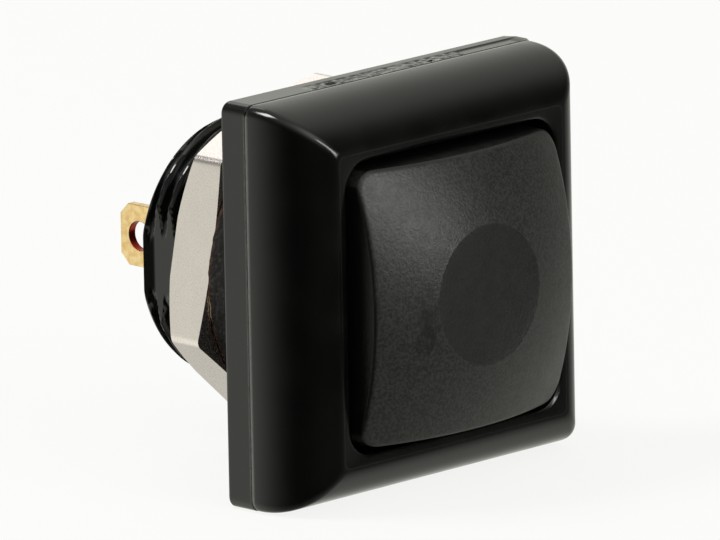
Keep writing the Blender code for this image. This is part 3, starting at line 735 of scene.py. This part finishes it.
def mark_depth(x, height):
    """How deep the tool's witness mark in the flange's upper side is, at a place in mm."""
    left, right = -4.7, 8.5
    if not left < x < right:
        return 0.0
    ends = min((x - left) / 0.25, (right - x) / 0.15, 1)
    sides = min(max((height - 0.5) / 0.1, 0), 1) * min(max((1.33 - height) / 0.05, 0), 1)
    if x > 4.9:
        level = 0.06
    else:
        level = 0.02 + 0.045 * noise.fractal(Vector((x * 3.1, height * 4.5, 3.1)), 0.9, 2.0, 3)
    for middle, height_there, size in ((-3.19, 0.89, 0.3), (2.86, 1.1, 0.2)):
        away = math.hypot((x - middle) / size, (height - height_there) / size / 0.8)
        if away < 1:
            level += 0.14 * (1 - away * away)
    return max(level, 0) * ends * sides


def fill_corner(co, half, radius, small):
    """Beside the mark the flange's corner is rounded less."""
    if co.x > half - radius and co.y > half - radius:
        rise = min(max((co.z - 0.1 * MM) / (0.4 * MM), 0), 1)
        fall = min(max((1.36 * MM - co.z) / (0.25 * MM), 0), 1)
        now = radius + (small - radius) * min(rise, fall)
        share = now / radius
        co.x = half - now + (co.x - half + radius) * share
        co.y = half - now + (co.y - half + radius) * share


class PUSHBUTTON_OT_housing(Operator):
    """Square flange and threaded bushing in one moulding"""

    bl_idname = "pushbutton.housing"
    bl_label = "Housing"

    def execute(self, context):
        front, rear, colours = settings(context)
        steps = context.scene.pushbutton_studio.curve_steps
        half = front.flange_width / 2
        thick = front.flange_thickness
        edge = PARTING_EDGE
        rear_edge = 0.05 * MM

        # Flange: rings from its front edge to its rear edge, then both faces
        flange = bmesh.new()
        wear_and_highlight = flange.verts.layers.float.new("wear_and_highlight")
        first = square_loop(flange, half - edge, front.flange_corner - edge, thick, 151)
        outline = [(half - edge * 0.3, thick - edge * 0.3), (half, thick - edge)]
        for step in range(1, 24):
            outline.append((half, thick - edge - (thick - edge - rear_edge) * step / 23))
        outline += [(half - rear_edge * 0.3, rear_edge * 0.3), (half - rear_edge, 0)]
        rings = scaled_rings(flange, first, half - edge, outline)
        # Painted pale highlight along the parting line, left off the upper side
        paint_highlight(rings[0] + rings[1], wear_and_highlight, PARTING_HIGHLIGHT, half)
        bmesh.ops.contextual_create(flange, geom=first)
        bmesh.ops.contextual_create(flange, geom=rings[-1])
        for vert in flange.verts:
            fill_corner(vert.co, half, front.flange_corner, 0.22 * MM)
            if vert.co.y > half - 0.001 * MM:
                drop = mark_depth(vert.co.x / MM, vert.co.z / MM)
                vert.co.y -= max(drop, 0.0) * MM
                vert[wear_and_highlight] += min(max(0.02 - drop, 0) * 4, 0.3) if drop else 0.0

        pocket = drum([(POCKET_RADIUS, -1 * MM), (POCKET_RADIUS, 0.5 * MM)], steps)
        guide = drum([(GUIDE_RADIUS, -1 * MM), (GUIDE_RADIUS, 3 * MM)], 48)
        bm = combined(flange, [pocket, guide])
        threaded_bushing(bm, rear, 2 * steps)
        plastic = gloss_black_plastic(colours)
        finish_piece(bm, "housing_moulding", plastic, "housing", crease=26)
        return {"FINISHED"}


def square_reach(co, half, corner):
    """Distance from the middle to a rounded square's edge, in the direction of a point."""
    x, y = abs(co.x), abs(co.y)
    away = math.hypot(x, y)
    x, y = x / away, y / away
    reach = half / max(x, y)
    flat_end = half - corner
    if reach * min(x, y) > flat_end:
        along = flat_end * (x + y)
        reach = along + math.sqrt(along * along - 2 * flat_end * flat_end + corner * corner)
    return reach


class PUSHBUTTON_OT_button_cap(Operator):
    """Square cap with a domed face, a finger dish, a hollow with ribs and a snap boss"""

    bl_idname = "pushbutton.button_cap"
    bl_label = "Button cap"

    def execute(self, context):
        front, _, colours = settings(context)
        half = front.cap_width / 2
        corner = front.cap_corner
        fillet = front.cap_fillet
        dish = front.dish_diameter / 2
        dome = front.dome_radius

        def dome_height(away):
            return front.cap_apex - dome + math.sqrt(dome * dome - away * away)

        def on_square(inset, drop=0, height=None, share=0):
            """On the inset square's edge, or share of the way from it to the dish"""

            def place(co):
                edge = square_reach(co, half - inset, corner - inset)
                reach = edge + (dish + 0.08 * MM - edge) * share
                level = dome_height(reach) - drop if height is None else height
                return circled_to(reach, level)(co)

            return place

        bm = bmesh.new()
        bottom = front.cap_bottom
        first = square_loop(bm, half, corner, bottom)
        places = [on_square(0, height=bottom + 0.6 * MM)]
        for step in range(9):
            angle = math.pi / 2 * step / 8
            inset = fillet * (1 - math.cos(angle))
            places.append(on_square(inset, fillet * (1 - math.sin(angle))))
        places += [on_square(fillet, share=step / 18) for step in range(1, 19)]
        edge_level = dome_height(dish)
        places.append(circled_to(dish + 0.03 * MM, edge_level - 0.003 * MM))
        inside = dish - 0.04 * MM
        floor = edge_level - 0.012 * MM
        places.append(circled_to(inside, floor))
        for step in range(1, 12):
            radius = inside * (1 - step / 12)
            level = floor - front.dish_depth * (1 - (radius / dish) ** 2)
            places.append(circled_to(radius, level))
        ring = drawn_through(bm, first, places)
        middle = bmesh.ops.contextual_create(bm, geom=ring)["faces"]
        bmesh.ops.poke(bm, faces=middle)

        # Under side: the wall's edge, the hollow and its roof
        wall = 0.9 * MM
        roof = bottom + 2.6 * MM
        under = [on_square(wall, height=height) for height in (bottom, roof)]
        inner = drawn_through(bm, first, under)
        bmesh.ops.contextual_create(bm, geom=inner)
        bmesh.ops.recalc_face_normals(bm, faces=bm.faces)

        # Ribs across the hollow and the boss that snaps on the plunger's head
        for size in ((half * 1.8, 0.6 * MM), (0.6 * MM, half * 1.8)):
            rib = bmesh.ops.create_cube(bm, size=1)["verts"]
            bmesh.ops.scale(bm, vec=(*size, 2.0 * MM), verts=rib)
            keep_clear = 1.25 * MM
            bmesh.ops.translate(bm, vec=(0, 0, roof - keep_clear + 0.5 * MM), verts=rib)
        boss_low = bottom + 0.2 * MM
        boss = [
            (1.4 * MM, boss_low),
            (2.4 * MM, boss_low),
            (2.4 * MM, roof + 0.3 * MM),
            (1.66 * MM, roof + 0.3 * MM),
            (1.66 * MM, boss_low + 0.75 * MM),
            (1.4 * MM, boss_low + 0.75 * MM),
        ]
        turned(bm, boss, 48)
        plastic = matt_black_plastic(colours, front)
        finish_piece(
            bm, "button_cap_moulding", plastic, "button_cap", "button", crease=40
        )
        return {"FINISHED"}


class PUSHBUTTON_OT_panel_gasket(Operator):
    """Sponge ring between the flange and the nut, its cut cells open"""

    bl_idname = "pushbutton.panel_gasket"
    bl_label = "Panel gasket"

    def execute(self, context):
        _, rear, colours = settings(context)
        outer = rear.gasket_diameter / 2
        inner = rear.thread_diameter / 2 + 0.1 * MM
        top = 0.45 * MM
        bottom = -rear.nut_front + 0.02 * MM
        profile = [(inner, bottom), (inner, top), (outer - 0.1 * MM, top)]
        rows = 30
        for row in range(rows + 1):
            height = top + (bottom - top) * row / rows
            bulge = 0.05 * MM * math.sin(math.pi * row / rows)
            profile.append((outer - 0.05 * MM + bulge, height))
        bm = bmesh.new()
        turned(bm, profile, 360)
        for vert in bm.verts:
            away = math.hypot(vert.co.x, vert.co.y)
            if away > outer - 0.09 * MM:
                cells = noise.cell_vector(vert.co / (0.3 * MM))
                lumps = noise.fractal(vert.co / (0.5 * MM), 0.7, 2.0, 4)
                reach = away + (lumps * 0.045 + (cells.x - 0.5) * 0.03) * MM
                vert.co.x *= reach / away
                vert.co.y *= reach / away
        sponge = sponge_rubber(colours, rear)
        finish_piece(bm, "panel_gasket_sponge", sponge, "panel_gasket", crease=60)
        return {"FINISHED"}


class PUSHBUTTON_OT_hex_nut(Operator):
    """Hexagon nut with turned-off corners and a plain hole, countersunk at both faces"""

    bl_idname = "pushbutton.hex_nut"
    bl_label = "Hexagon nut"

    def execute(self, context):
        _, rear, colours = settings(context)
        front_z = -rear.nut_front
        rear_z = front_z - rear.nut_thickness
        corner_radius = rear.nut_across / math.sqrt(3)
        turn = Matrix.Rotation(math.radians(-12), 4, "Z")
        lift = Matrix.Translation((0, 0, (front_z + rear_z) / 2))
        prism = cylinder(corner_radius, rear.nut_thickness, 6, lift @ turn)
        upright = [e for e in prism.edges if abs(e.verts[0].co.z - e.verts[1].co.z) > 1 * MM]
        bevelled(prism, upright, 0.24 * MM, 6)
        reach = corner_radius + 0.5 * MM
        face = rear.nut_across / 2
        rear_face = face + 0.12 * MM
        chamfer = math.tan(math.radians(30))
        outline = [
            (face, front_z),
            (reach, front_z - (reach - face) * 0.2),
            (reach, rear_z + (reach - rear_face) * chamfer),
            (rear_face, rear_z),
        ]
        shaped = combined(prism, [drum(outline, 288)], "INTERSECT")
        hole = rear.thread_diameter / 2 - 0.12 * MM
        sink = 0.4 * MM
        mouth = hole + 2 * sink
        bore = [
            (mouth, front_z + sink),
            (hole, front_z - sink),
            (hole, rear_z + sink),
            (mouth, rear_z - sink),
        ]
        bm = combined(shaped, [drum(bore, 144)])
        nickel = nickel_plate(colours)
        finish_piece(bm, "hex_nut_plated", nickel, "hex_nut", crease=16)
        return {"FINISHED"}


class PUSHBUTTON_OT_terminals(Operator):
    """Two solder terminals: blade with an eye outside, foot bent outwards inside"""

    bl_idname = "pushbutton.terminals"
    bl_label = "Solder terminals"

    def execute(self, context):
        _, rear, colours = settings(context)
        gold = gold_plate(colours, rear)
        end = -rear.bushing_length - rear.tab_length
        inner = rear.tab_spacing / 2 - rear.tab_thickness / 2
        outer = inner + rear.tab_thickness
        foot_low, foot_high = -6.45 * MM, -6.05 * MM
        foot_end = 2.9 * MM
        bend_radius = 0.1 * MM
        bend = (outer + bend_radius, foot_low - bend_radius)
        outline = [(inner, end), (outer, end)]
        outline += arc(*bend, bend_radius, 180, 90, 6)
        outline += [(foot_end, foot_low), (foot_end, foot_high)]
        outline += arc(*bend, bend_radius + rear.tab_thickness, 90, 180, 8)
        for label, side in (("left", -1), ("right", 1)):
            bm = bmesh.new()
            verts = [bm.verts.new((side * x, -rear.tab_width / 2, z)) for x, z in outline]
            face = bm.faces.new(verts)
            drawn = bmesh.ops.extrude_face_region(bm, geom=[face])["geom"]
            moved = new_items(drawn, bmesh.types.BMVert)
            bmesh.ops.translate(bm, verts=moved, vec=(0, rear.tab_width, 0))
            tips = []
            for edge in bm.edges:
                first, last = (vert.co for vert in edge.verts)
                lowest = max(first.z, last.z) < end + 0.01 * MM
                if lowest and abs(first.y - last.y) < 0.01 * MM:
                    tips.append(edge)
            bevelled(bm, tips, 0.5 * MM, 1)
            across = Matrix.Rotation(math.pi / 2, 4, "Y")
            centre = Matrix.Translation((side * rear.tab_spacing / 2, 0, end + rear.eye_inset))
            eye = cylinder(rear.eye_diameter / 2, 2 * MM, 64, centre @ across)
            bm = combined(bm, [eye])
            name = f"{label}_terminal"
            edge = 0.04 * MM
            finish_piece(bm, f"{name}_plated", gold, name, crease=35, rounding=edge)
        return {"FINISHED"}


class PUSHBUTTON_OT_potting(Operator):
    """Resin that closes the bushing's rear end and climbs a little at the wall and tabs"""

    bl_idname = "pushbutton.potting"
    bl_label = "Potting"

    def execute(self, context):
        _, rear, _ = settings(context)
        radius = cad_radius("potting_seal") + 0.04 * MM
        level = -rear.bushing_length + 0.1 * MM
        underside = -8.05 * MM
        half_width = rear.tab_width / 2
        bm = bmesh.new()
        top = circle_loop(bm, radius, underside, 96)
        places = [circled_to(radius * (1 - step / 20), level) for step in range(20)]
        ring = drawn_through(bm, top, places)
        middle = bmesh.ops.contextual_create(bm, geom=ring)["faces"]
        bmesh.ops.poke(bm, faces=middle)
        bmesh.ops.contextual_create(bm, geom=top)
        for vert in bm.verts:
            if abs(vert.co.z - level) > 0.01 * MM:
                continue
            to_wall = radius - math.hypot(vert.co.x, vert.co.y)
            to_tab = 1.0
            for side in (-1, 1):
                beside = abs(vert.co.x - side * rear.tab_spacing / 2) - rear.tab_thickness / 2
                beyond = abs(vert.co.y) - half_width
                to_tab = min(to_tab, math.hypot(max(beside, 0), max(beyond, 0)))
            at_wall = 0.09 * math.exp(-to_wall / (0.22 * MM))
            at_tab = 0.16 * math.exp(-to_tab / (0.25 * MM))
            dents = 0.02 * noise.noise(vert.co / (1.2 * MM))
            vert.co.z -= (at_wall + at_tab - dents) * MM
        finish_piece(bm, "potting_resin", cast_resin(), "potting_seal", crease=60)
        return {"FINISHED"}


def coil(radius, wire, low, high, turns):
    """A coil of round wire with a closed turn at each end."""
    bm = bmesh.new()
    steps = 32
    closed_rise = wire * 1.08
    open_rise = (high - low - wire - 2 * closed_rise) / (turns - 2)
    place = Matrix.Translation((radius, 0, low + wire / 2)) @ Matrix.Rotation(math.pi / 2, 4, "X")
    bmesh.ops.create_circle(bm, cap_ends=True, radius=wire / 2, segments=14, matrix=place)
    geometry = list(bm.faces)
    for count, rise in ((1, closed_rise), (turns - 2, open_rise), (1, closed_rise)):
        made = bmesh.ops.spin(
            bm,
            geom=geometry,
            cent=(0, 0, 0),
            axis=(0, 0, 1),
            dvec=(0, 0, rise / steps),
            angle=math.tau * count,
            steps=round(steps * count),
        )
        geometry = new_items(made["geom_last"], bmesh.types.BMFace)
    bmesh.ops.remove_doubles(bm, verts=bm.verts, dist=0.0005 * MM)
    # Faces left inside the wire, where one stretch meets the next
    inside = [face for face in bm.faces if all(len(edge.link_faces) > 2 for edge in face.edges)]
    bmesh.ops.delete(bm, geom=inside, context="FACES_ONLY")
    return bm


class PUSHBUTTON_OT_springs(Operator):
    """Return spring and contact spring, drawn as coils of round wire"""

    bl_idname = "pushbutton.springs"
    bl_label = "Springs"

    def execute(self, context):
        steel = bare_metal("drawn_spring_steel", 0.2, ("b9b6b0", "8f8c86"), 0.25)
        for name, body, wire, turns, joint, press_from in (
            ("return_spring", "switch_body", 0.35, 4.5, "button_press", 1),
            ("contact_spring", "button", 0.18, 3.5, "bridge_slide", 0),
        ):
            low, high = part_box(name)
            radius = (high.x - low.x) / 2 - wire * MM / 2
            bm = coil(radius, wire * MM, -high.y, -low.y, turns)
            piece = finish_piece(bm, f"{name}_coil", steel, name, body, crease=60)
            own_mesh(piece)
        return {"FINISHED"}


class PUSHBUTTON_OT_inner_pieces(Operator):
    """Finishes of the CAD pieces that are kept as they are"""

    bl_idname = "pushbutton.inner_pieces"
    bl_label = "Inner pieces"

    def execute(self, context):
        plastic = inner_plastic()
        silver = bare_metal("pressed_silver_alloy", 0.15, ("e6e4de", "c9c6be"), 0.22)
        copper = bare_metal("silvered_copper_strip", 0.3, ("d9c6ac", "b98f6d"), 0.3)
        steel = bare_metal("stamped_spring_steel", 0.25, ("a9a6a0", "83807a"), 0.3)
        dressed = {
            "plunger": plastic,
            "contact_base": plastic,
            "plunger_o_ring": seal_rubber(),
            "contact_bridge": copper,
            "bridge_clip": steel,
            "left_fixed_contact": silver,
            "right_fixed_contact": silver,
            "left_moving_contact": silver,
            "right_moving_contact": silver,
        }
        for name, material in dressed.items():
            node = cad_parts[name]
            if not node.material_slots:
                node.data.materials.append(material)
            for place in node.material_slots:
                place.material = material
        return {"FINISHED"}


# Stage

# The background as the camera sees it
WHITE = linear("fdfdfc")

# Each lamp: its direction, the sides of its face in metres and its power
LAMPS = {
    "left_spot": ((-0.39, 0.34, 0.857), (0.13, 0.13), 0.9),
    "front_strip": ((0.21, -0.94, 0.26), (0.36, 0.045), 0.5),
    "back_ceiling": ((0.37, 0.7, 0.62), (0.14, 0.14), 0.064),
}

# The direction that a lamp's longer side follows
LAMP_SIDE = Vector((0.46, 0.05, -0.45))

# Each soft light of the room: its direction, radiance and focus
SOFT_LIGHTS = {
    "front left ceiling": ((-0.2, -0.65, 0.75), 1.0, 10),
    "front above": ((-0.05, -0.8, 0.6), 1.0, 12),
    "ceiling": ((0.35, 0.15, 0.9), 0.7, 7),
    "left ceiling": ((-0.5, -0.1, 0.85), 0.5, 8),
    "left front": ((-0.6, -0.65, 0.4), 0.15, 8),
    "back wall": ((-0.35, 0.95, -0.1), 1.0, 10),
    "back wall, right part": ((0.4, 0.9, -0.2), 0.3, 10),
    "back wall, left part": ((-0.8, 0.6, -0.05), 0.5, 14),
    "right wall": ((0.75, 0.65, 0.1), 0.8, 7),
    "table at the back left": ((-0.4, 0.7, -0.6), 0.8, 10),
    "table at the back": ((0.3, 0.7, -0.65), 0.4, 10),
    "table at the right": ((0.9, 0.05, -0.4), 0.45, 7),
    "table at the front right": ((0.65, -0.35, -0.68), 0.4, 12),
    "table in front": ((0.1, -0.35, -0.95), 0.2, 6),
}


def soft_glow(add, way, direction, radiance, focus):
    """A round soft light in the room, brightest in its direction."""
    middle = Vector(direction).normalized()
    near = add("VectorMath", way, middle, operation="DOT_PRODUCT")
    fall = add("Math", near, focus, -focus, operation="MULTIPLY_ADD")
    shape = add("Math", fall, operation="EXPONENT")
    return add("Math", shape, radiance, operation="MULTIPLY")


def add_lamp(name, direction, size, power, distance):
    """A rectangular lamp that faces the switch."""
    light = bpy.data.lights.new(name, "AREA")
    light.shape = "RECTANGLE"
    light.size, light.size_y = size
    light.energy = power
    lamp = add_object(name, light)
    way = Vector(direction).normalized()
    upright = way.cross(LAMP_SIDE).normalized()
    turn = Matrix((upright.cross(way), upright, way)).transposed()
    lamp.matrix_world = Matrix.Translation(way * distance) @ turn.to_4x4()
    lamp.visible_camera = False


class PUSHBUTTON_OT_stage(Operator):
    """Pale floor, soft lamps, surroundings and camera"""

    bl_idname = "pushbutton.stage"
    bl_label = "Stage"

    def execute(self, context):
        scene = context.scene
        studio = scene.pushbutton_studio
        low, _ = cad_box

        # Floor: diffuse, and for the camera mostly its own white, so a faint shadow stays
        bm = bmesh.new()
        lift = Matrix.Translation((0, 0, low.z))
        half = studio.floor_size / 2
        bmesh.ops.create_grid(bm, x_segments=1, y_segments=1, size=half, matrix=lift)
        paper = bpy.data.materials.new("white_paper")
        paper.use_nodes = True
        tree = paper.node_tree
        add = partial(add_node, tree)
        tree.nodes.remove(tree.nodes["Principled BSDF"])
        matt = add("BsdfDiffuse", studio.floor_colour)
        glow = add("Emission", WHITE, 0.985)
        seen = add("LightPath")
        share = add("Math", seen, 0.9, operation="MULTIPLY")
        mixed = add("MixShader", share, matt, glow)
        tree.links.new(mixed, tree.nodes["Material Output"].inputs["Surface"])
        floor = add_object("floor", shaded_mesh(bm, "floor", paper))
        floor.visible_glossy = False

        # Surroundings: a dark room with soft lights round the switch
        world = bpy.data.worlds.new("studio_room")
        scene.world = world
        world.use_nodes = True
        tree = world.node_tree
        add = partial(add_node, tree)
        way = add("TexCoord")
        total = 0.0
        for light in SOFT_LIGHTS.values():
            total = add("Math", total, soft_glow(add, way, *light), operation="ADD")
        warm_white = (0.985, 1, 0.91)
        shade = add("VectorMath", warm_white, total, operation="SCALE")
        seen = add("LightPath")
        final = add("Mix", seen, shade, WHITE, data_type="RGBA")
        tree.links.new(final, tree.nodes["Background"].inputs["Color"])

        for name, lamp in LAMPS.items():
            add_lamp(name, *lamp, studio.lamp_distance)

        # The camera of the photograph: columns are its right, up and back, then its place
        view = bpy.data.cameras.new("photograph")
        view.sensor_width = 36.0
        view.lens = 813.81
        view.clip_start = 0.01
        camera = add_object("photograph", view)
        camera.matrix_world = Matrix(
            (
                (0.69979336, 0.17433031, -0.69274685, -0.491832),
                (-0.71410973, 0.14581794, -0.68467834, -0.485460),
                (-0.01834527, 0.97383062, 0.2265334, 0.160719),
                (0, 0, 0, 1),
            )
        )
        scene.camera = camera
        scene.view_settings.view_transform = "Standard"
        return {"FINISHED"}


PIECE_OPERATORS = (
    PUSHBUTTON_OT_front_frame,
    PUSHBUTTON_OT_housing,
    PUSHBUTTON_OT_button_cap,
    PUSHBUTTON_OT_panel_gasket,
    PUSHBUTTON_OT_hex_nut,
    PUSHBUTTON_OT_terminals,
    PUSHBUTTON_OT_potting,
    PUSHBUTTON_OT_springs,
    PUSHBUTTON_OT_inner_pieces,
    PUSHBUTTON_OT_stage,
)


class PUSHBUTTON_PT_panel(bpy.types.Panel):
    """Lists the operators and the sizes and colours that they use"""

    bl_idname = "PUSHBUTTON_PT_panel"
    bl_label = "Pushbutton"
    bl_space_type = "VIEW_3D"
    bl_region_type = "UI"
    bl_category = "Pushbutton"

    def draw(self, context):
        layout = self.layout
        for group, kind in GROUPS.items():
            box = layout.box()
            for name in kind.__annotations__:
                box.prop(getattr(context.scene, group), name)
        for piece in PIECE_OPERATORS:
            layout.operator(piece.bl_idname)


GROUPS = {
    "pushbutton_front": FrontSizes,
    "pushbutton_rear": RearSizes,
    "pushbutton_finishes": Finishes,
    "pushbutton_studio": StudioSettings,
}


def register():
    for kind in (*GROUPS.values(), *PIECE_OPERATORS, PUSHBUTTON_PT_panel):
        bpy.utils.register_class(kind)
    for name, kind in GROUPS.items():
        setattr(bpy.types.Scene, name, PointerProperty(type=kind))


def unregister():
    for name in GROUPS:
        delattr(bpy.types.Scene, name)
    for kind in (PUSHBUTTON_PT_panel, *PIECE_OPERATORS[::-1], *GROUPS.values()):
        bpy.utils.unregister_class(kind)


def main():
    register()
    for piece in PIECE_OPERATORS:
        group, name = piece.bl_idname.split(".")
        getattr(getattr(bpy.ops, group), name)()


if __name__ == "__main__":
    main()
